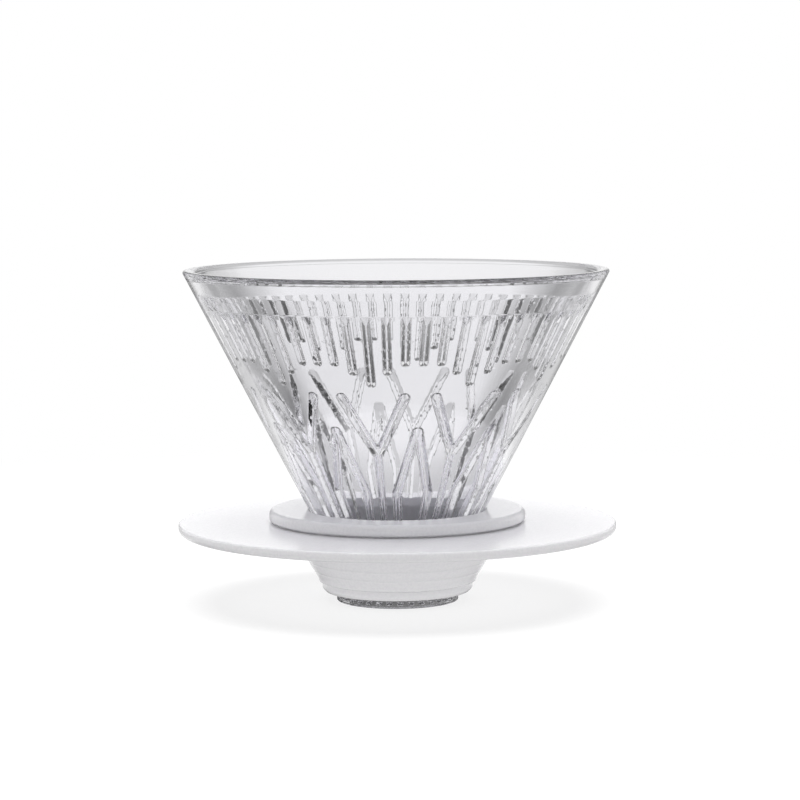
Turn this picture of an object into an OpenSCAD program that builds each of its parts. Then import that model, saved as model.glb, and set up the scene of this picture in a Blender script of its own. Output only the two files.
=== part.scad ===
// Pour over dripper: a clear ribbed filter cone that drops into a white holder.
// Origin at the centre of the surface it stands on, +Z up, millimetres.

/* [Filter cone] */
// Height of the rim above the table
cone_h = 90; // [88:0.5:94]
// Outside radius of the rim
rim_r = 58; // [57:0.5:60]
// Outside radius of the straight spout at the bottom
spout_r = 16.5; // [16:0.1:16.7]
// Half of the angle between the cone's opposite sides
half_angle = 27.4; // [27:0.1:27.8]
// Wall between the ribs, measured level
wall = 2.6; // [2.4:0.1:2.8]
// Wall of the plain band under the rim, measured level
rim_wall = 3; // [2.8:0.1:3.2]

/* [Ribs] */
// How far the short ribs stand in from the wall
short_rib_h = 1.2; // [1:0.1:1.4]
// How far the long ribs stand in from the wall
long_rib_h = 1.8; // [1.5:0.1:2]
// Width of the short ribs
short_rib_w = 2.1; // [1.8:0.1:2.3]
// Width of the arms of a Y rib
arm_w = 2.6; // [2.3:0.1:2.8]
// Width of every long rib in the spout
foot_w = 1.5; // [1.4:0.1:1.7]

/* [Collar] */
// Outside radius of the collar
collar_r = 34.8; // [33.5:0.1:37]
// Height of the collar's top face
collar_top = 25; // [24.8:0.1:25.6]
// Thickness of the collar's flange
collar_t = 3; // [2.8:0.1:3.2]

/* [Saucer] */
// Outside radius of the saucer
saucer_r = 59.3; // [56:0.1:62]
// Height of the saucer's top face
saucer_top = 21.6; // [21.4:0.1:21.7]
// Thickness of the saucer's plate
saucer_t = 2.6; // [2.2:0.1:2.8]

/* [Spigot] */
// Outside radius of the spigot where it meets the plate
spigot_top_r = 28; // [27.6:0.1:29]
// Outside radius of the spigot at its lower edge
spigot_low_r = 21.8; // [21.5:0.1:22.2]
// Height of the spigot's lower edge
spigot_low_z = 5.3; // [5:0.1:5.6]
// Outside radius of the retaining ring
ring_r = 20.4; // [20:0.1:20.8]
// Height of the retaining ring's lower face
ring_z = 2.6; // [2.4:0.1:2.8]

/* [Hidden] */
clear_white = [0.86, 0.87, 0.92, 0.45];
milk_white = [0.93, 0.93, 0.95];
slope = tan(half_angle);
spout_top = cone_h - (rim_r - spout_r) / slope;
bevel = 0.4;              // on the cone's outer edges
lip_h = 1.2;              // height of the bevel inside the rim
shoulder_z = 85;          // where the wall starts to thicken to the ledge
ledge_z = 81;             // ledge that the short ribs hang from
ledge_w = 1.6;            // how far the ledge stands in from the wall, measured level
repeats = 10;             // times that the rib pattern repeats round the cone
pitch = 6;                // angle between two short ribs
turn = -9;                // angle of the first Y rib from the front
root = 1;                 // how deep a rib is set into the wall
short_ends = [62, 65.2, 67.6, 67.6, 67.6, 65.2];   // lower ends of six short ribs
arm_z = 60;               // upper end of a Y rib's arm
fork_z = 43;              // where the arms of a Y rib meet
tip_z = 50.5;             // top of a forked rib
knee_z = 33;              // where the legs of a forked rib turn down
knee = 9;                 // angle from a forked rib's middle to its knee
foot_z = 1.2;             // lower end of the long ribs
stem_w = 1.9;             // width of a Y rib's stem under its fork
stem_low_w = 1.2;         // width of a stem or leg where it reaches the spout
leg_w = 2.1;              // width of a forked rib's legs
fit_gap = 0.2;            // gap between the cone and the holder
collar_round = 1.2;       // rounding of the collar's edge
neck_in = 1.5;            // how far the collar's neck stands back under its edge
saucer_round = 1;         // rounding of the saucer's lower edge
sleeve_r = 25.4;          // outside radius of the collar's sleeve
sleeve_in_r = 23.2;       // inside radius of the collar's sleeve
sleeve_z = 17;            // lower end of the collar's sleeve
shell = 2.2;              // wall of the spigot
floor_t = 1.6;            // thickness of the spigot's floor
clip_r = 18.2;            // outside radius of the retaining ring's clip
clip_gap = 0.1;           // gap round the clip and the sleeve
ring_step = 0.9;          // bevel on the retaining ring's lower edge

// Outside and inside radius of the cone's plain wall at a height
function outer_r(z) = rim_r - (cone_h - z) * slope;
function inner_r(z) = max(outer_r(z), spout_r) - wall;

// Tapered bar from p to q, with cut corners at both ends
module bar(p, q, wp, wq) {
    d = (q - p) / norm(q - p);
    n = [-d[1], d[0]];
    polygon([p + n * wp / 2, q + n * wq / 2, q + d * wq / 3 + n * wq / 4,
        q + d * wq / 3 - n * wq / 4, q - n * wq / 2, p - n * wp / 2,
        p - d * wp / 3 - n * wp / 4, p - d * wp / 3 + n * wp / 4]);
}

// Rib on the wall from [angle, height] p up to q
module rib(p, q, wp, wq, h, tilt) {
    mid_a = (p[0] + q[0]) / 2;
    mid_z = (p[1] + q[1]) / 2;
    rotate([0, 0, mid_a]) translate([0, -inner_r(mid_z), mid_z]) rotate([tilt, 0, 0])
        translate([0, h, 0]) rotate([90, 0, 0]) linear_extrude(h + root)
            bar([inner_r(p[1]) * sin(p[0] - mid_a), (p[1] - mid_z) / cos(tilt)],
                [inner_r(q[1]) * sin(q[0] - mid_a), (q[1] - mid_z) / cos(tilt)], wp, wq);
}

module short_rib(angle, low_z) {
    rib([angle, low_z + short_rib_w / 3], [angle, ledge_z - bevel],
        short_rib_w, short_rib_w, short_rib_h, half_angle);
}

// Last stretch of a long rib, down the straight spout
module foot(angle) {
    rib([angle, foot_z], [angle, spout_top + 1], foot_w, foot_w, long_rib_h, 0);
}

module y_rib(angle) {
    for (side = [-1, 1])
        rib([angle, fork_z], [angle + side * 2 * pitch, arm_z],
            arm_w, arm_w, long_rib_h, half_angle);
    rib([angle, spout_top + bevel], [angle, fork_z + 1], stem_low_w, stem_w, long_rib_h, half_angle);
    foot(angle);
}

module forked_rib(angle) {
    for (side = [-1, 1]) {
        rib([angle + side * knee, knee_z], [angle + side * pitch / 8, tip_z],
            leg_w, leg_w, long_rib_h, half_angle);
        rib([angle + side * pitch, spout_top + bevel], [angle + side * knee, knee_z],
            stem_low_w, leg_w, long_rib_h, half_angle);
        foot(angle + side * pitch);
    }
}

module cone_wall() {
    rotate_extrude($fn = 180) polygon([
        [spout_r - bevel, 0], [spout_r, bevel], [spout_r, spout_top],
        [outer_r(cone_h - bevel), cone_h - bevel], [rim_r - bevel, cone_h],
        [rim_r - rim_wall + bevel, cone_h],
        [outer_r(cone_h - lip_h) - rim_wall, cone_h - lip_h],
        [outer_r(shoulder_z) - rim_wall, shoulder_z],
        [inner_r(ledge_z) - ledge_w, ledge_z], [inner_r(ledge_z), ledge_z],
        [inner_r(spout_top), spout_top], [spout_r - wall, 0]]);
}

module filter_cone() {
    color(clear_white) {
        cone_wall();
        for (i = [0 : 6 * repeats - 1]) short_rib(turn + i * pitch, short_ends[i % 6]);
        for (i = [0 : repeats - 1]) {
            y_rib(turn + i * 6 * pitch);
            forked_rib(turn + (i * 6 + 3) * pitch);
        }
    }
}

module collar() {
    low_z = collar_top - collar_t;
    color(milk_white) rotate_extrude($fn = 180) difference() {
        union() {
            translate([0, low_z + collar_round])
                square([collar_r, collar_t - 2 * collar_round]);
            translate([0, low_z]) square([collar_r - collar_round, collar_t]);
            for (z = [low_z + collar_round, collar_top - collar_round])
                translate([collar_r - collar_round, z]) circle(collar_round, $fn = 48);
            translate([0, saucer_top])
                square([collar_r - neck_in, low_z - saucer_top + bevel]);
            translate([0, sleeve_z]) square([sleeve_r, low_z - sleeve_z + bevel]);
        }
        square([sleeve_in_r, cone_h]);
        polygon([[0, 0], [outer_r(0) + fit_gap, 0],
            [outer_r(cone_h) + fit_gap, cone_h], [0, cone_h]]);
    }
}

module saucer() {
    low_z = saucer_top - saucer_t;
    color(milk_white) rotate_extrude($fn = 180) difference() {
        union() {
            translate([0, low_z]) square([saucer_r - saucer_round, saucer_t]);
            translate([0, low_z + saucer_round]) square([saucer_r, saucer_t - saucer_round]);
            translate([saucer_r - saucer_round, low_z + saucer_round])
                circle(saucer_round, $fn = 48);
            polygon([[0, spigot_low_z], [spigot_low_r, spigot_low_z],
                [spigot_top_r, low_z], [0, low_z]]);
        }
        square([clip_r + clip_gap, saucer_top]);
        polygon([[0, spigot_low_z + floor_t], [spigot_low_r - shell, spigot_low_z + floor_t],
            [sleeve_r - 1, sleeve_z - 1], [0, sleeve_z - 1]]);
        translate([0, sleeve_z - 1.1]) square([sleeve_r + clip_gap, cone_h]);
    }
}

module retaining_ring() {
    color(milk_white) rotate_extrude($fn = 180) polygon([
        [spout_r + fit_gap, ring_z], [ring_r - ring_step, ring_z],
        [ring_r, ring_z + ring_step], [ring_r, spigot_low_z], [clip_r, spigot_low_z],
        [clip_r, spigot_low_z + floor_t], [spout_r + fit_gap, spigot_low_z + floor_t]]);
}

filter_cone();
collar();
saucer();
retaining_ring();
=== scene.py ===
"""Pour over dripper: a clear ribbed cone in a white holder, on a plain white floor."""
import math

import bpy
import numpy as np
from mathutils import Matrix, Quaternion, Vector
from mathutils.geometry import delaunay_2d_cdt


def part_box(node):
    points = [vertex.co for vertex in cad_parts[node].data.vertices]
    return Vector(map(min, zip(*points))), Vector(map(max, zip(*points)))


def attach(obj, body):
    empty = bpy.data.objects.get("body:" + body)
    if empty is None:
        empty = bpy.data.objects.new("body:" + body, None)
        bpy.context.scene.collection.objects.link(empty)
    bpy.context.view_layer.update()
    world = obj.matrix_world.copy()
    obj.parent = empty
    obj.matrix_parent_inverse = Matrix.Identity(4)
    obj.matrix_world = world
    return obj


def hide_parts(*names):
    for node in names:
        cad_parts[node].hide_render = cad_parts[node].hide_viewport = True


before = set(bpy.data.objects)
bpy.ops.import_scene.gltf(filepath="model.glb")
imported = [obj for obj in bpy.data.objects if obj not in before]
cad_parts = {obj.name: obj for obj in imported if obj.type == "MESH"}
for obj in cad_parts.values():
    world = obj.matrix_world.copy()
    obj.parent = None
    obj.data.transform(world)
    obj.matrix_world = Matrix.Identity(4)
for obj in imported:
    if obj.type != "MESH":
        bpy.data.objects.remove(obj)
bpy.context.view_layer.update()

MM = 0.001
CONE_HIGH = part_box("filter_cone")[1]
SAUCER_LOW, SAUCER_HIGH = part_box("saucer")
COLLAR_LOW, COLLAR_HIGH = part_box("collar")
RING_LOW, RING_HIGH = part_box("retaining_ring")

# The clear cone, in millimetres; thicknesses are measured level
RIM_R, CONE_H = CONE_HIGH.x / MM, CONE_HIGH.z / MM
SLOPE = math.tan(math.radians(27.4))
COS_A = 1 / math.hypot(1, SLOPE)
SIN_A = SLOPE * COS_A
SPOUT_R = 16.5
SPOUT_TOP = CONE_H - (RIM_R - SPOUT_R) / SLOPE
WALL = 3.4            # of the ribbed wall
RIM_WALL = 3.0        # of the plain band under the rim
LEDGE_Z = 81.0        # crease where the short ribs start
SHOULDER_Z = 85.0     # where the wall has thinned to the plain band's thickness
SHOULDER_ROUND = 0.8
LIP_Z, LIP_STEP, LIP_ROUND = CONE_H - 1.2, 0.15, 0.08   # a small step inside the rim
LIP_FALL, LIP_RISE, LIP_TOP_ROUND = 0.1, 0.45, 0.3   # heights of the step and of the band over it
RIM_BEVEL, RIM_ROUND = 0.8, 0.7
SPOUT_BEND, SPOUT_FOOT_ROUND, SPOUT_BORE_ROUND = 0.6, 0.35, 0.3
FOOT_Z = 0.45         # lower edge of the ribbed zone
BEND_REACH = 3.0      # height over which the wall turns from the cone to the spout

# The ribs: full widths, heights over the wall and lengths of the ramps at their upper ends
REPEATS = 10
HALF = 180.0 / REPEATS
TURN = -9.0           # angle of the first Y rib from the front, in degrees
SHORT_ENDS = {0: 62.0, 6: 65.2, 12: 67.6, 18: 67.6}   # lower end of each short rib by its angle
SHORT_W, SHORT_H, SHORT_RAMP = 2.3, 0.95, 3.1
SHORT_TOP_Z = LEDGE_Z - SHORT_W / 2 * 0.9   # where their ramped upper ends are centred
ARM_W, LEG_W, FOOT_W = 2.8, 2.4, 1.2
ARM_LOW_W, STEM_TOP_W = ARM_W * 0.85, ARM_W * 0.8
LONG_H, ARM_RAMP, LEG_RAMP = 1.45, 5.4, 6.2
TIP_STEP = 0.12       # share of a long rib's height that is left at its tip
CREST = 0.22          # share of a rib's width that is its flat crest
Y_FORK, Y_TIP, STEM_TOP = (0, 43.6), (12, 59.4), (0, 45.5)
LEG_BEND, LEG_TIP = (9, 33), (17.6, 50.2)
LEG_FOOT_A = 12
RIB_FOOT_Z = FOOT_Z + 0.75
FLANK_EASE, RAMP_EASE, JOIN_EASE = 0.09, 0.05, 0.08   # how far the creases are rounded

# Spacing of the cone's mesh, in millimetres
COLUMNS = 240         # columns round the plain surfaces
RIB_STEP, GRID_STEP, SIDE_STEP, MIN_STEP = 0.9, 1.3, 0.55, 0.11
GRID_LOW_GAP, GRID_HIGH_GAP = 1.2, 0.6   # between the filling rows and the zone's borders
EDGE_GAP, FOOT_GAP = 0.12, 0.3           # between the mesh points and the zone's borders
RAMP_ROWS, RAMP_SIDE = 9, 0.07
ARC_POINTS, ARC_R = 7, 1.1               # points round an end of that radius
ARC_DEGREES, ARC_SHARE = 12, 0.49        # of an outline's corner: step, and most of a side used

# The white holder, in millimetres
HOLDER_COLUMNS = 256
GAP = 0.2             # play round the cone
COLLAR_R, COLLAR_TOP = COLLAR_HIGH.x / MM, COLLAR_HIGH.z / MM
COLLAR_T = 3.0
COLLAR_ROUND = (1.3, 1.45)   # lower and upper edge
NECK = 1.5            # how far the collar's foot stands back from its edge
SLEEVE_R, SLEEVE_IN_R, SLEEVE_Z = 25.4, 23.2, COLLAR_LOW.z / MM
SEAT_LOW_Z = CONE_H - (RIM_R + GAP - SLEEVE_IN_R) / SLOPE   # where the seat meets the sleeve's bore
SAUCER_R, SAUCER_TOP = SAUCER_HIGH.x / MM, SAUCER_HIGH.z / MM
SAUCER_T = 2.6
SAUCER_LOW_Z = SAUCER_TOP - SAUCER_T
SAUCER_ROUND = (1.3, 0.45)   # lower and upper edge
SLEEVE_PLAY, SLEEVE_FLOOR = 0.1, 0.3
SPIGOT_TOP_R, SPIGOT_R, SPIGOT_Z = 28.0, 21.6, SAUCER_LOW.z / MM
SPIGOT_FOOT = 1.2     # height of the nearly straight foot of the spigot's side
SPIGOT_BULGE, SPIGOT_ROWS = 0.55, 24
SPIGOT_FLOOR, SPIGOT_WALL = 1.6, 2.2
GROOVES = (8.3, 10.9)  # heights of the shallow mould lines round the spigot
GROOVE_SHAPE = ((0.1, 0.22), (-0.12, 0.05), (-0.13, -0.2))   # their points, [out, up]
GROOVE_GAP, GROOVE_ROUND = 0.45, 0.1
RING_R, RING_Z, RING_BEVEL = RING_HIGH.x / MM, RING_LOW.z / MM, 0.9
CLIP_R = 18.2
CONE_FINE, HOLDER_FINE = 0.25, 0.3   # extra rows this close to the ends of straight stretches
CONE_TURNS = [math.radians(TURN + j * 360 / COLUMNS) for j in range(COLUMNS)]
HOLDER_TURNS = [2 * math.pi * j / HOLDER_COLUMNS for j in range(HOLDER_COLUMNS)]

# Colours of the two plastics
CLEAR_TINT = (0.968, 0.966, 0.985, 1)
SHADOW_TINT = (0.62, 0.62, 0.64, 1)
WHITE_TONES = ((0.845, 0.84, 0.86, 1), (0.885, 0.88, 0.895, 1))

# The floor as the camera sees it: how much of it takes shadows, and its own glow, by distance
FLOOR_R, FLOOR_SIDES = 6.0, 96
NEAR_REACH, FLOOR_SHARE, FLOOR_GLOW = (0.16, 0.35), 0.3, 0.72

# The floor as the object sees it: dark just in front, then white, then the backdrop's tones
FLOOR_FILL = 0.82
BACK_REACH, FAR_REACH = (0.0, 0.03), (0.085, 0.13)
SIDE_REACH, SIDE_LEVEL = (-0.06, 0.06), (0.02, 0.3)
BEHIND_REACH, BEHIND_TONE = (0.11, 0.17), 0.66
FLAG_REACH = (0.22, 0.4)

# The backdrop by the sine of the angle off its middle: grey flags between white stretches
BACKDROP_TONES = ((0.0, 1.0), (0.11, 0.98), (0.2, 0.28), (0.41, 0.28), (0.49, 1.0),
                  (0.85, 0.95), (1.0, 0.88))
FRONT_EDGE, FRONT_TONE = (-0.7, 0.0), 0.9
HIGH_EDGE, HIGH_TONE = (0.25, 0.48), 0.07

# The softbox and the camera, in metres and degrees; the lens in millimetres
SOFTBOX_AT, SOFTBOX_SIZE, SOFTBOX_POWER = (0, 0.15, 1.2), 1.4, 27
CAMERA_AT = (0, -0.762, 0.1298)
CAMERA_DROP, CAMERA_LEAN = 5.65, -0.3
CAMERA_LENS, CAMERA_SHIFT = 127.35, 0.0042


def out_r(z):
    """Outside radius of the clear cone at a height."""
    return max(RIM_R - (CONE_H - z) * SLOPE, SPOUT_R)


def wall_r(z):
    """Radius of the ribbed wall between the ribs."""
    z = np.asarray(z, float)
    return np.maximum(RIM_R - (CONE_H - z) * SLOPE, SPOUT_R) - WALL


# distance of the spout's top from the apex of the cone laid flat
BEND_RHO = (RIM_R - (CONE_H - SPOUT_TOP) * SLOPE - WALL) / SIN_A


def unroll(a, z):
    """Place of a point of the wall, [angle in degrees, height], once the wall is laid flat."""
    a, z = np.asarray(a, float), np.asarray(z, float)
    rho = BEND_RHO + np.where(z > SPOUT_TOP, (z - SPOUT_TOP) / COS_A, z - SPOUT_TOP)
    phi = np.radians(a) * SIN_A
    return np.stack([rho * np.sin(phi), rho * np.cos(phi)], -1)


def roll(p):
    """The inverse of unroll."""
    p = np.asarray(p, float)
    a = np.degrees(np.arctan2(p[..., 0], p[..., 1]) / SIN_A)
    d = np.hypot(p[..., 0], p[..., 1]) - BEND_RHO
    return a, SPOUT_TOP + np.where(d > 0, d * COS_A, d)


def soft_clamp(x, e):
    """x held between 0 and 1, with its two corners rounded over e."""
    low = np.where(x < -e, 0, np.where(x > e, x, (x + e) ** 2 / (4 * e)))
    y = 1 - low
    high = np.where(y < -e, 0, np.where(y > e, y, (y + e) ** 2 / (4 * e)))
    return 1 - high


def soft_min(a, b, e):
    """The lower of a and b, with the crease between them rounded over e."""
    h = np.clip(0.5 + 0.5 * (b - a) / e, 0, 1)
    return b * (1 - h) + a * h - e * h * (1 - h) * (h > 0) * (h < 1)


def soft_max(a, b, e):
    """The higher of a and b, with the crease between them rounded over e."""
    return -soft_min(-a, -b, e)


class Rib:
    """A straight rib on the unrolled wall, from p up to q, both [angle, height]."""

    def __init__(self, p, q, wp, wq, height, ramp=0.0, tip=0.0):
        self.p, self.q = unroll(*p), unroll(*q)
        self.wp, self.wq = wp / 2, wq / 2
        self.height, self.ramp, self.tip = height, ramp, tip
        self.length = float(np.linalg.norm(self.q - self.p))
        self.along = (self.q - self.p) / self.length
        self.across = np.array([self.along[1], -self.along[0]])

    def mirrored(self, about):
        """The same rib on the other side of the line at angle about."""
        ends = ((2 * about - a, z) for a, z in (roll(self.p), roll(self.q)))
        return Rib(*ends, 2 * self.wp, 2 * self.wq, self.height, self.ramp, self.tip)

    def place(self, x):
        """Distance along the rib, distance off its middle, and half its width there."""
        d = x - self.p
        t = d @ self.along
        held = np.clip(t, 0, self.length)
        # a rib that ramps down to nothing keeps its straight sides, any other has a round end
        stop = np.maximum(t, 0) if self.ramp and not self.tip else held
        off = np.linalg.norm(d - stop[..., None] * self.along, axis=-1)
        return t, off, self.wp + (self.wq - self.wp) * held / self.length

    def rise(self, x):
        """How far the rib stands in from the wall at x."""
        t, off, half = self.place(x)
        h = self.height * soft_clamp((1 - off / half) / (1 - CREST), FLANK_EASE)
        if self.ramp:
            left = self.length + half - t
            cut = self.height * (self.tip + (1 - self.tip) * left / self.ramp)
            h = np.maximum(soft_min(h, np.maximum(cut, 0), RAMP_EASE), 0)
        return h


def make_ribs():
    """The ribs of half a repeat: four short ones, half a Y and one leg of the fork."""
    ribs = [Rib((a, low + SHORT_W / 2), (a, SHORT_TOP_Z), SHORT_W, SHORT_W, SHORT_H, ramp=SHORT_RAMP)
            for a, low in SHORT_ENDS.items()]
    ribs.append(Rib(Y_FORK, Y_TIP, ARM_LOW_W, ARM_W, LONG_H, ramp=ARM_RAMP, tip=TIP_STEP))
    ribs.append(Rib((0, SPOUT_TOP), STEM_TOP, FOOT_W, STEM_TOP_W, LONG_H))
    ribs.append(Rib((0, RIB_FOOT_Z), (0, SPOUT_TOP), FOOT_W, FOOT_W, LONG_H))
    ribs.append(Rib(LEG_BEND, LEG_TIP, LEG_W, LEG_W, LONG_H, ramp=LEG_RAMP, tip=TIP_STEP))
    ribs.append(Rib((LEG_FOOT_A, SPOUT_TOP), LEG_BEND, FOOT_W, LEG_W, LONG_H))
    ribs.append(Rib((LEG_FOOT_A, RIB_FOOT_Z), (LEG_FOOT_A, SPOUT_TOP), FOOT_W, FOOT_W, LONG_H))
    return ribs


RIBS = make_ribs()
LONG_RIBS = RIBS[len(SHORT_ENDS):]
ALL_RIBS = RIBS + [r.mirrored(0) for r in LONG_RIBS] + [r.mirrored(HALF) for r in LONG_RIBS]


def rise(x):
    """How far the ribbed surface stands in from the wall at points of the unrolled wall."""
    h = np.zeros(x.shape[:-1])
    for rib in ALL_RIBS:
        one = rib.rise(x)
        h = soft_max(h, one, np.clip(np.minimum(h, one), 1e-6, JOIN_EASE))
    return np.maximum(h, 0)


def surface(a, z):
    """Points of the ribbed inner surface in space, at angle a (degrees) and height z."""
    h = rise(unroll(a, z))
    blend = np.clip((z - SPOUT_TOP + BEND_REACH / 2) / BEND_REACH, 0, 1)
    r = wall_r(z) - h * (1 + (COS_A - 1) * blend)
    t = np.radians(a)
    return np.stack([r * np.sin(t), -r * np.cos(t), z + h * SIN_A * blend], -1)


def surface_normals(a, z):
    """Normals of the ribbed inner surface, pointing to the axis."""
    da, dz = 0.02, 0.01
    u = surface(a + da, z) - surface(a - da, z)
    v = surface(a, z + dz) - surface(a, z - dz)
    n = np.cross(v, u)
    n /= np.linalg.norm(n, axis=-1, keepdims=True)
    p = surface(a, z)
    inward = -(n[..., 0] * p[..., 0] + n[..., 1] * p[..., 1])
    return n * np.sign(inward)[..., None]


def rib_points(rib):
    """Mesh points along lines that run round a rib, each at its own distance off the middle."""
    out = []
    mid = (rib.wp + rib.wq) / 2
    t = np.linspace(0, rib.length, max(2, int(rib.length / RIB_STEP)))
    # outside, on and inside the flank's foot, halfway up it, and on both sides of the crest's edge
    lines = (1 + 0.14 / mid, 1.0, 1 - 0.12 / mid, (1 + CREST) / 2, CREST + 0.1 / mid, CREST - 0.06)
    for u in lines:
        half = (rib.wp + (rib.wq - rib.wp) * t / rib.length) * u
        for side in (-1, 1):
            out.append(rib.p + t[:, None] * rib.along + side * half[:, None] * rib.across)
        turns = max(3, int(ARC_POINTS * u * mid / ARC_R))
        ang = np.linspace(0, math.pi, turns + 2)[1:-1]
        for end, w, sign in ((rib.p, rib.wp, -1), (rib.q, rib.wq, 1)):
            out.append(end + w * u * (np.cos(ang)[:, None] * rib.across
                                      + sign * np.sin(ang)[:, None] * rib.along))
    out.append(rib.p + t[:, None] * rib.along)
    if rib.ramp:
        for k in np.linspace(0.04, 1.0, RAMP_ROWS):
            spot = rib.p + (rib.length + rib.wq - k * rib.ramp) * rib.along
            u = 1 - k * (1 - CREST)
            for side in (-1, 1):
                for more in (-RAMP_SIDE, RAMP_SIDE):
                    out.append((spot + side * (u * rib.wq + more) * rib.across)[None])
            out.append(spot[None])
    return np.concatenate(out)


def grid_points():
    """Points in staggered rows that fill the wall between the ribs."""
    rows = []
    for i, z in enumerate(np.arange(FOOT_Z + GRID_LOW_GAP, LEDGE_Z - GRID_HIGH_GAP, GRID_STEP)):
        n = max(3, int(math.radians(HALF) * float(wall_r(z)) / GRID_STEP))
        a = (np.arange(n) + (0.5 if i % 2 else 0.25)) / n * HALF
        rows.append(unroll(a, np.full(n, z)))
    return np.concatenate(rows)


def zone_points():
    """Angle and height of every mesh point of half a repeat of the ribbed zone, border first."""
    a, z = roll(np.concatenate([rib_points(r) for r in RIBS] + [grid_points()]))
    keep = (a > EDGE_GAP) & (a < HALF - EDGE_GAP) & (z > FOOT_Z + FOOT_GAP) & (z < LEDGE_Z - EDGE_GAP)
    a, z = a[keep], z[keep]
    # of points that lie almost on each other only the first stays
    _, first = np.unique(np.round(unroll(a, z) / MIN_STEP).astype(int), axis=0, return_index=True)
    first.sort()
    edge = np.arange(0, HALF + 1e-6, 360.0 / COLUMNS)
    side = np.arange(FOOT_Z, LEDGE_Z, SIDE_STEP)[1:]
    a = np.concatenate([edge, edge, np.zeros(len(side)), np.full(len(side), HALF), a[first]])
    z = np.concatenate([np.full(len(edge), FOOT_Z), np.full(len(edge), LEDGE_Z), side, side, z[first]])
    return a, z, len(edge), len(side)


def zone_mesh():
    """The ribbed zone's half repeat: angles, heights and triangles."""
    a, z, n_edge, n_side = zone_points()
    low, high, left, right = np.split(
        np.arange(2 * n_edge + 2 * n_side), [n_edge, 2 * n_edge, 2 * n_edge + n_side])
    border = [int(i) for i in (*low, *right, *high[::-1], *left[::-1])]
    edges = list(zip(border, border[1:] + border[:1]))
    out = delaunay_2d_cdt([Vector(p) for p in unroll(a, z)], edges, [], 1, 1e-5)
    va, vz = roll(np.array([v[:] for v in out[0]]))
    for i, made_from in enumerate(out[3]):
        if made_from:
            va[i], vz[i] = a[made_from[0]], z[made_from[0]]
    return va, vz, [tuple(f) for f in out[2]]


def new_object(name, verts, faces, normals, body):
    """A smooth mesh object that rides on a body; verts are in millimetres."""
    mesh = bpy.data.meshes.new(name)
    mesh.from_pydata((np.asarray(verts) * MM).tolist(), [], faces)
    mesh.update()
    mesh.shade_smooth()
    mesh.normals_split_custom_set_from_vertices(np.asarray(normals).tolist())
    obj = bpy.data.objects.new(name, mesh)
    bpy.context.scene.collection.objects.link(obj)
    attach(obj, body)
    return obj


def rounded(points, closed=False):
    """An outline [(r, z, radius of its corner)] with every corner turned into an arc."""
    out = []
    n = len(points)
    for i, (r, z, rad) in enumerate(points):
        here = np.array([r, z], float)
        if rad <= 0 or (not closed and i in (0, n - 1)):
            out.append(here)
            continue
        before = np.array(points[i - 1][:2], float) - here
        after = np.array(points[(i + 1) % n][:2], float) - here
        b, c = before / np.linalg.norm(before), after / np.linalg.norm(after)
        turn = math.acos(max(-1, min(1, -(b @ c))))
        if turn < 1e-3:
            out.append(here)
            continue
        back = min(rad * math.tan(turn / 2), np.linalg.norm(before) * ARC_SHARE,
                   np.linalg.norm(after) * ARC_SHARE)
        rad = back / math.tan(turn / 2)
        start, end = here + b * back, here + c * back
        centre = here + (b + c) / np.linalg.norm(b + c) * math.hypot(rad, back)
        steps = max(2, int(math.degrees(turn) / ARC_DEGREES))
        for f in (k / steps for k in range(steps + 1)):
            out.append(centre + ((start - centre) * (math.sin((1 - f) * turn) / math.sin(turn))
                                 + (end - centre) * (math.sin(f * turn) / math.sin(turn))))
    return out


def lathe_normals(line, closed):
    """Normals of an outline's points, to the left of its direction of travel."""
    p = np.array(line)
    if closed:
        back, ahead = np.roll(p, 1, 0), np.roll(p, -1, 0)
    else:
        back = np.vstack([p[0] - (p[1] - p[0]), p[:-1]])
        ahead = np.vstack([p[1:], p[-1] + (p[-1] - p[-2])])
    d0, d1 = p - back, ahead - p
    l0, l1 = (np.linalg.norm(d, axis=1, keepdims=True) for d in (d0, d1))
    # each neighbour's direction counts more the shorter its edge is, as on an arc beside a flat
    d = d0 / l0 * l1 + d1 / l1 * l0
    d /= np.linalg.norm(d, axis=1, keepdims=True)
    return np.stack([-d[:, 1], d[:, 0]], -1)


def add_fine_rows(line, gap):
    """An outline with extra points close to the ends of its long straight stretches."""
    out = [line[0]]
    for p, q in zip(line[:-1], line[1:]):
        length = float(np.linalg.norm(q - p))
        if length > 6 * gap:
            out.append(p + (q - p) * gap / length)
            out.append(q - (q - p) * gap / length)
        out.append(q)
    return out


def turned(r, z, angles):
    """Points or normals round the axis, one at each angle."""
    return [(r * math.sin(t), -r * math.cos(t), z) for t in angles]


def spun(p, flip, angle):
    """A point or normal, mirrored where flip is -1 and then turned round the axis."""
    x, y, c, s = p[0] * flip, p[1], math.cos(angle), math.sin(angle)
    return x * c - y * s, x * s + y * c, p[2]


def plain_outline():
    """The cone's outline from the ledge up over the rim and down outside to the spout's bore."""
    def band_r(z):
        return out_r(z) - RIM_WALL

    return [(float(wall_r(LEDGE_Z)), LEDGE_Z, 0),
            (band_r(SHOULDER_Z), SHOULDER_Z, SHOULDER_ROUND),
            (band_r(LIP_Z - LIP_FALL), LIP_Z - LIP_FALL, LIP_ROUND),
            (band_r(LIP_Z) + LIP_STEP, LIP_Z, LIP_ROUND),
            (band_r(LIP_Z + LIP_RISE) + LIP_STEP, LIP_Z + LIP_RISE, LIP_TOP_ROUND),
            (RIM_R - RIM_WALL + RIM_BEVEL, CONE_H, RIM_BEVEL),
            (RIM_R, CONE_H, RIM_ROUND),
            (SPOUT_R, SPOUT_TOP, SPOUT_BEND),
            (SPOUT_R, 0, SPOUT_FOOT_ROUND),
            (SPOUT_R - WALL, 0, SPOUT_BORE_ROUND),
            (SPOUT_R - WALL, FOOT_Z, 0)]


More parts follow.
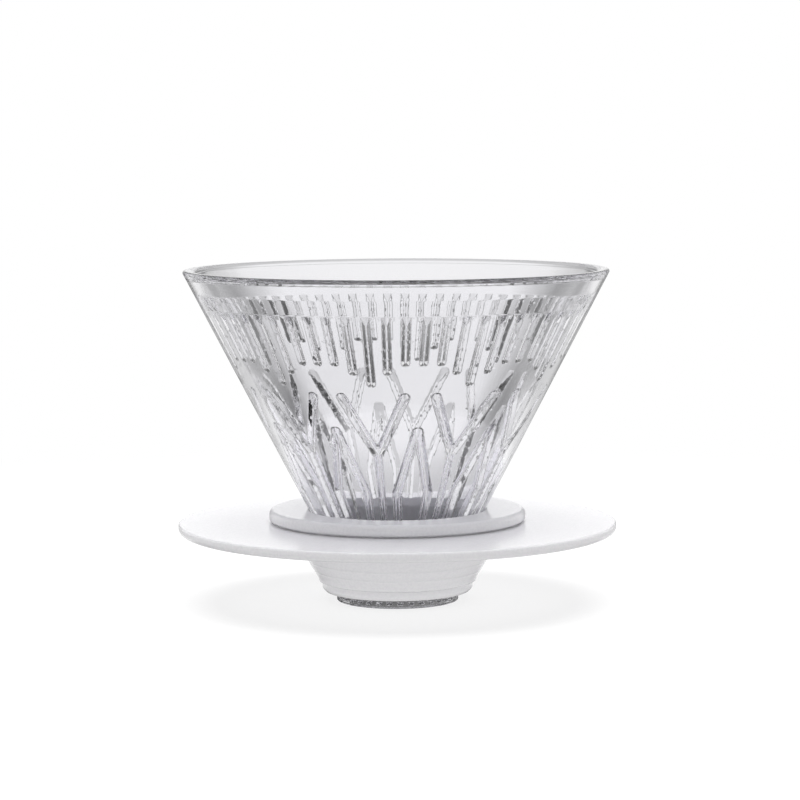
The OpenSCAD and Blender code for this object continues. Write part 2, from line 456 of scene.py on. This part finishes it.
class Shell:
    """Vertices, normals and faces of one closed shell, whose parts share their border points."""

    def __init__(self):
        self.verts, self.normals, self.faces, self.index = [], [], [], {}

    def vertex(self, p, n):
        key = tuple(np.round(p, 4))
        if key not in self.index:
            self.index[key] = len(self.verts)
            self.verts.append(p)
            self.normals.append(n)
        return self.index[key]

    def add_zone(self):
        """The ribbed zone: the half repeat and its mirror image, all the way round."""
        va, vz, triangles = zone_mesh()
        base, norm = surface(va, vz), surface_normals(va, vz)
        for k in range(REPEATS):
            t = math.radians(TURN + k * 360 / REPEATS)
            for flip in (1, -1):
                ids = [self.vertex(spun(p, flip, t), spun(n, flip, t)) for p, n in zip(base, norm)]
                for face in triangles:
                    corners = [ids[i] for i in face]
                    if len(set(corners)) == 3:
                        self.faces.append(corners[::-1] if flip > 0 else corners)

    def add_plain(self):
        """Everything outside the ribbed zone, turned round the axis."""
        line = add_fine_rows(rounded(plain_outline()), CONE_FINE)
        around = lathe_normals(line, False)
        around[0], around[-1] = (-COS_A, SIN_A), (-1, 0)
        rows = [[self.vertex(p, n) for p, n in zip(turned(*spot, CONE_TURNS),
                                                   turned(*normal, CONE_TURNS))]
                for spot, normal in zip(line, around)]
        for one, two in zip(rows[:-1], rows[1:]):
            for j in range(COLUMNS):
                k = (j + 1) % COLUMNS
                self.faces.append((one[j], two[j], two[k], one[k]))


def lathe_piece(name, outline, node_name, body):
    """A holder piece turned round the axis from its closed outline, in place of its CAD node."""
    line = rounded(outline, closed=True)
    line = add_fine_rows(line + [line[0]], HOLDER_FINE)[:-1]
    turn = sum(p[0] * q[1] - q[0] * p[1] for p, q in zip(line, line[1:] + line[:1]))
    if turn > 0:   # the faces and normals need an outline that runs clockwise
        line.reverse()
    verts = [p for spot in line for p in turned(*spot, HOLDER_TURNS)]
    normals = [n for normal in lathe_normals(line, True) for n in turned(*normal, HOLDER_TURNS)]
    faces = []
    for i in range(len(line)):
        low, high = i * HOLDER_COLUMNS, (i + 1) % len(line) * HOLDER_COLUMNS
        for j in range(HOLDER_COLUMNS):
            k = (j + 1) % HOLDER_COLUMNS
            faces.append((low + j, high + j, high + k, low + k))
    obj = new_object(name, verts, faces, normals, body)
    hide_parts(node_name)
    return obj


def collar_outline():
    """The sleeve's foot, the collar's underside and edge, its top and the cone's seat."""
    neck, low_z = COLLAR_R - NECK, COLLAR_TOP - COLLAR_T
    return [(SLEEVE_IN_R, SLEEVE_Z, 0.3), (SLEEVE_R, SLEEVE_Z, 0.3), (SLEEVE_R, SAUCER_TOP, 0.1),
            (neck, SAUCER_TOP, 0.1), (neck, low_z, 0.25), (COLLAR_R, low_z, COLLAR_ROUND[0]),
            (COLLAR_R, COLLAR_TOP, COLLAR_ROUND[1]), (out_r(COLLAR_TOP) + GAP, COLLAR_TOP, 0.35),
            (SLEEVE_IN_R, SEAT_LOW_Z, 0.4)]


def spigot_r(f):
    """Radius of the spigot's bulging side, a share f of the way down it."""
    return SPIGOT_TOP_R + (SPIGOT_R - SPIGOT_TOP_R) * f + SPIGOT_BULGE * math.sin(math.pi * f)


def spigot_side():
    """Outline points down the spigot's side, with its shallow mould lines."""
    points = []
    for f in (k / SPIGOT_ROWS for k in range(1, SPIGOT_ROWS + 1)):
        z = SAUCER_LOW_Z + (SPIGOT_Z + SPIGOT_FOOT - SAUCER_LOW_Z) * f
        if all(abs(z - groove) > GROOVE_GAP for groove in GROOVES):
            points.append((spigot_r(f), z, 0))
    for groove in GROOVES:
        r = spigot_r((SAUCER_LOW_Z - groove) / (SAUCER_LOW_Z - SPIGOT_Z - SPIGOT_FOOT))
        points += [(r + out, groove + up, GROOVE_ROUND) for out, up in GROOVE_SHAPE]
    return sorted(points, key=lambda p: -p[1])


def saucer_outline():
    """The hole in the floor, the hollow under the sleeve, the plate and the spigot's side."""
    clip_r, floor_z = CLIP_R + SLEEVE_PLAY, SPIGOT_Z + SPIGOT_FLOOR
    bore_r, bore_z = SLEEVE_R + SLEEVE_PLAY, SLEEVE_Z - SLEEVE_FLOOR
    return [(clip_r, SPIGOT_Z, 0.2), (clip_r, floor_z, 0.2), (SPIGOT_R - SPIGOT_WALL, floor_z, 0.5),
            (SLEEVE_R - 1, bore_z, 0.3), (bore_r, bore_z, 0.1), (bore_r, SAUCER_TOP, 0.2),
            (SAUCER_R, SAUCER_TOP, SAUCER_ROUND[1]), (SAUCER_R, SAUCER_LOW_Z, SAUCER_ROUND[0]),
            (SPIGOT_TOP_R, SAUCER_LOW_Z, 0.6), *spigot_side(), (SPIGOT_R - 0.15, SPIGOT_Z, 0.7)]


def ring_outline():
    """The band under the spigot, with the clip that goes up into the saucer's floor."""
    inner, clip_z = SPOUT_R + GAP, SPIGOT_Z + SPIGOT_FLOOR
    return [(inner, RING_Z, 0.25), (RING_R - RING_BEVEL, RING_Z, 0.35),
            (RING_R, RING_Z + RING_BEVEL, 0.6), (RING_R, SPIGOT_Z, 0.25),
            (CLIP_R, SPIGOT_Z, 0.1), (CLIP_R, clip_z, 0.3), (inner, clip_z, 0.3)]


def nodes_of(mat):
    """An emptied node tree, and its calls for a new node and a new link."""
    mat.use_nodes = True
    tree = mat.node_tree
    tree.nodes.clear()
    return tree.nodes.new, tree.links.new


def set_inputs(node, **values):
    """Set a node's sockets by their names, with _ for a space."""
    for name, value in values.items():
        node.inputs[name.replace("_", " ")].default_value = value
    return node


def ramp_node(node, reach, levels):
    """A smooth step between two levels over a reach."""
    ramp = set_inputs(node("ShaderNodeMapRange"), From_Min=reach[0], From_Max=reach[1],
                      To_Min=levels[0], To_Max=levels[1])
    ramp.interpolation_type = "SMOOTHSTEP"
    return ramp


def clear_material():
    """Clear moulded plastic with a slight cool tint, faint flow marks and a fine polish haze."""
    mat = bpy.data.materials.new("clear_plastic")
    node, link = nodes_of(mat)
    out = node("ShaderNodeOutputMaterial")
    bsdf = set_inputs(node("ShaderNodeBsdfPrincipled"), Base_Color=CLEAR_TINT, IOR=1.56,
                      Transmission_Weight=1.0)
    coord = node("ShaderNodeTexCoord")
    flow = set_inputs(node("ShaderNodeTexNoise"), Scale=90, Detail=2)
    haze = set_inputs(node("ShaderNodeMapRange"), To_Min=0.0, To_Max=0.03)
    bump = set_inputs(node("ShaderNodeBump"), Strength=0.05, Distance=0.0004)
    link(coord.outputs["Object"], flow.inputs["Vector"])
    link(flow.outputs["Fac"], haze.inputs["Value"])
    link(haze.outputs[0], bsdf.inputs["Roughness"])
    link(flow.outputs["Fac"], bump.inputs["Height"])
    link(bump.outputs[0], bsdf.inputs["Normal"])
    # shadow rays pass with a tint, so that light reaches the holder through the cone
    path = node("ShaderNodeLightPath")
    lets_light = set_inputs(node("ShaderNodeBsdfTransparent"), Color=SHADOW_TINT)
    pick = node("ShaderNodeMixShader")
    link(path.outputs["Is Shadow Ray"], pick.inputs["Fac"])
    link(bsdf.outputs[0], pick.inputs[1])
    link(lets_light.outputs[0], pick.inputs[2])
    link(pick.outputs[0], out.inputs["Surface"])
    return mat


def white_material():
    """Milky white moulded plastic: satin, with a fine eggshell grain and a cloudy gloss."""
    mat = bpy.data.materials.new("white_plastic")
    node, link = nodes_of(mat)
    out = node("ShaderNodeOutputMaterial")
    bsdf = set_inputs(node("ShaderNodeBsdfPrincipled"), Subsurface_Weight=0.35,
                      Subsurface_Radius=(1, 0.95, 1), Subsurface_Scale=0.0015)
    coord = node("ShaderNodeTexCoord")
    cloud = set_inputs(node("ShaderNodeTexNoise"), Scale=55, Detail=3)
    gloss = set_inputs(node("ShaderNodeMapRange"), To_Min=0.06, To_Max=0.14)
    grain = set_inputs(node("ShaderNodeTexNoise"), Scale=1500)
    speckle = set_inputs(node("ShaderNodeMapRange"), From_Min=0.35, From_Max=0.6)
    tone = node("ShaderNodeMix")
    tone.data_type = "RGBA"
    set_inputs(tone, A=WHITE_TONES[0], B=WHITE_TONES[1])
    bump = set_inputs(node("ShaderNodeBump"), Strength=0.2, Distance=0.0002)
    for noise in (cloud, grain):
        link(coord.outputs["Object"], noise.inputs["Vector"])
    link(grain.outputs["Fac"], speckle.inputs["Value"])
    link(speckle.outputs[0], tone.inputs["Factor"])
    link(tone.outputs["Result"], bsdf.inputs["Base Color"])
    link(cloud.outputs["Fac"], gloss.inputs["Value"])
    link(gloss.outputs[0], bsdf.inputs["Roughness"])
    link(grain.outputs["Fac"], bump.inputs["Height"])
    link(bump.outputs[0], bsdf.inputs["Normal"])
    link(bsdf.outputs[0], out.inputs["Surface"])
    return mat


def backdrop_tone(node, link, vector):
    """Brightness of the backdrop by the side it is seen on: white straight behind, then a grey
    flag on either side, then white again, and a little less in front."""
    level = node("ShaderNodeVectorMath")
    level.operation = "MULTIPLY"
    level.inputs[1].default_value = (1, 1, 0)
    unit = node("ShaderNodeVectorMath")
    unit.operation = "NORMALIZE"
    split = node("ShaderNodeSeparateXYZ")
    off = node("ShaderNodeMath")
    off.operation = "ABSOLUTE"
    tones = node("ShaderNodeValToRGB")
    ramp = tones.color_ramp
    while len(ramp.elements) < len(BACKDROP_TONES):
        ramp.elements.new(0.5)
    for stop, (place, tone) in zip(ramp.elements, BACKDROP_TONES):
        stop.position = place
        stop.color = (tone, tone, tone, 1)
    ahead = ramp_node(node, FRONT_EDGE, (0, 1))
    mix = set_inputs(node("ShaderNodeMix"), A=FRONT_TONE)
    link(vector, level.inputs[0])
    link(level.outputs[0], unit.inputs[0])
    link(unit.outputs[0], split.inputs[0])
    link(split.outputs["X"], off.inputs[0])
    link(off.outputs[0], tones.inputs["Fac"])
    link(tones.outputs["Color"], mix.inputs["B"])
    link(split.outputs["Y"], ahead.inputs["Value"])
    link(ahead.outputs[0], mix.inputs["Factor"])
    return mix.outputs["Result"]


def floor_light(node, link, coord, far):
    """What the floor gives to the object: the tone of each place of it."""
    def step(source, reach, levels):
        ramp = ramp_node(node, reach, levels)
        link(source, ramp.inputs["Value"])
        return ramp.outputs[0]

    split = node("ShaderNodeSeparateXYZ")
    link(coord, split.inputs[0])
    most = node("ShaderNodeMath")
    most.operation = "MAXIMUM"
    link(step(split.outputs["Y"], BACK_REACH, (0, 1)), most.inputs[0])
    link(step(far, FAR_REACH, (0, 1)), most.inputs[1])
    flags, level, fill = (node("ShaderNodeMix") for _ in range(3))
    link(step(far, FLAG_REACH, (0, 1)), flags.inputs["Factor"])
    link(step(far, BEHIND_REACH, (1, BEHIND_TONE)), flags.inputs["A"])
    link(backdrop_tone(node, link, coord), flags.inputs["B"])
    link(most.outputs[0], level.inputs["Factor"])
    link(step(split.outputs["X"], SIDE_REACH, SIDE_LEVEL), level.inputs["A"])
    link(flags.outputs["Result"], level.inputs["B"])
    path = node("ShaderNodeLightPath")
    link(path.outputs["Is Diffuse Ray"], fill.inputs["Factor"])
    link(level.outputs["Result"], fill.inputs["A"])
    set_inputs(fill, B=FLOOR_FILL)
    glow = node("ShaderNodeEmission")
    link(fill.outputs["Result"], glow.inputs["Strength"])
    return path, glow


def floor_material():
    """White table: shows as white with soft shadows, but lights the object only as a studio does."""
    mat = bpy.data.materials.new("white_floor")
    node, link = nodes_of(mat)
    coord = node("ShaderNodeTexCoord").outputs["Object"]
    far = node("ShaderNodeVectorMath")
    far.operation = "LENGTH"
    link(coord, far.inputs[0])
    path, glow = floor_light(node, link, coord, far.outputs["Value"])
    seen = set_inputs(node("ShaderNodeBsdfPrincipled"), Roughness=1.0, Specular_IOR_Level=0.0,
                      Emission_Color=(1, 1, 1, 1))
    for levels, socket in (((FLOOR_SHARE, 0), "Base Color"), ((FLOOR_GLOW, 1), "Emission Strength")):
        ramp = ramp_node(node, NEAR_REACH, levels)
        link(far.outputs["Value"], ramp.inputs["Value"])
        link(ramp.outputs[0], seen.inputs[socket])
    pick = node("ShaderNodeMixShader")
    out = node("ShaderNodeOutputMaterial")
    link(path.outputs["Is Camera Ray"], pick.inputs["Fac"])
    link(glow.outputs[0], pick.inputs[1])
    link(seen.outputs[0], pick.inputs[2])
    link(pick.outputs[0], out.inputs["Surface"])
    return mat


def add_floor():
    mesh = bpy.data.meshes.new("floor")
    turns = [2 * math.pi * i / FLOOR_SIDES for i in range(FLOOR_SIDES)]
    ring = [(FLOOR_R * math.cos(t), FLOOR_R * math.sin(t), 0) for t in turns]
    mesh.from_pydata(ring, [], [tuple(range(FLOOR_SIDES))])
    obj = bpy.data.objects.new("floor", mesh)
    mesh.materials.append(floor_material())
    bpy.context.scene.collection.objects.link(obj)


def add_softbox():
    """A square light overhead, which clear and glossy surfaces don't mirror."""
    light = bpy.data.lights.new("softbox", "AREA")
    light.shape = "RECTANGLE"
    light.size = light.size_y = SOFTBOX_SIZE
    light.energy = SOFTBOX_POWER
    obj = bpy.data.objects.new("softbox", light)
    obj.location = SOFTBOX_AT
    obj.rotation_mode = "QUATERNION"
    obj.rotation_quaternion = (Vector((0, 0, 0)) - Vector(SOFTBOX_AT)).to_track_quat("-Z", "Y")
    obj.visible_transmission = obj.visible_glossy = False
    bpy.context.scene.collection.objects.link(obj)


def add_world():
    """Studio surroundings: a white backdrop with two grey flags, dark higher up."""
    world = bpy.data.worlds.new("studio")
    bpy.context.scene.world = world
    node, link = nodes_of(world)
    coord = node("ShaderNodeTexCoord").outputs["Generated"]
    split = node("ShaderNodeSeparateXYZ")
    upward = ramp_node(node, HIGH_EDGE, (0, 1))
    level = set_inputs(node("ShaderNodeMix"), B=HIGH_TONE)
    path = node("ShaderNodeLightPath")
    seen = set_inputs(node("ShaderNodeMix"), B=1.0)
    back = set_inputs(node("ShaderNodeBackground"), Color=(1, 1, 1, 1))
    out = node("ShaderNodeOutputWorld")
    link(coord, split.inputs[0])
    link(split.outputs["Z"], upward.inputs["Value"])
    link(backdrop_tone(node, link, coord), level.inputs["A"])
    link(upward.outputs[0], level.inputs["Factor"])
    link(level.outputs["Result"], seen.inputs["A"])
    link(path.outputs["Is Camera Ray"], seen.inputs["Factor"])
    link(seen.outputs["Result"], back.inputs["Strength"])
    link(back.outputs[0], out.inputs["Surface"])


def add_camera():
    cam = bpy.data.cameras.new("camera")
    obj = bpy.data.objects.new("camera", cam)
    bpy.context.scene.collection.objects.link(obj)
    obj.location = CAMERA_AT
    obj.rotation_mode = "QUATERNION"
    obj.rotation_quaternion = (Quaternion((1, 0, 0), math.radians(90 - CAMERA_DROP))
                               @ Quaternion((0, 0, 1), math.radians(CAMERA_LEAN)))
    cam.sensor_width = 36
    cam.lens = CAMERA_LENS
    cam.shift_x = CAMERA_SHIFT
    cam.clip_start, cam.clip_end = 0.01, 100
    bpy.context.scene.camera = obj


def settings():
    """Plain colours, and enough bounces for light to get through the ribs of both walls."""
    scene = bpy.context.scene
    scene.view_settings.view_transform = "Standard"
    scene.cycles.max_bounces = 40
    scene.cycles.transmission_bounces = 40
    scene.cycles.glossy_bounces = 16
    scene.cycles.diffuse_bounces = 6


def add_cone():
    shell = Shell()
    shell.add_zone()
    shell.add_plain()
    cone = new_object("clear_cone", shell.verts, shell.faces, shell.normals, "cone")
    cone.data.materials.append(clear_material())
    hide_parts("filter_cone")


def add_holder():
    white = white_material()
    for name, outline, node_name in (("seat_collar", collar_outline(), "collar"),
                                     ("drip_saucer", saucer_outline(), "saucer"),
                                     ("outlet_ring", ring_outline(), "retaining_ring")):
        piece = lathe_piece(name, outline, node_name, "holder")
        piece.data.materials.append(white)


add_camera()
add_floor()
add_world()
settings()
add_cone()
add_holder()
add_softbox()
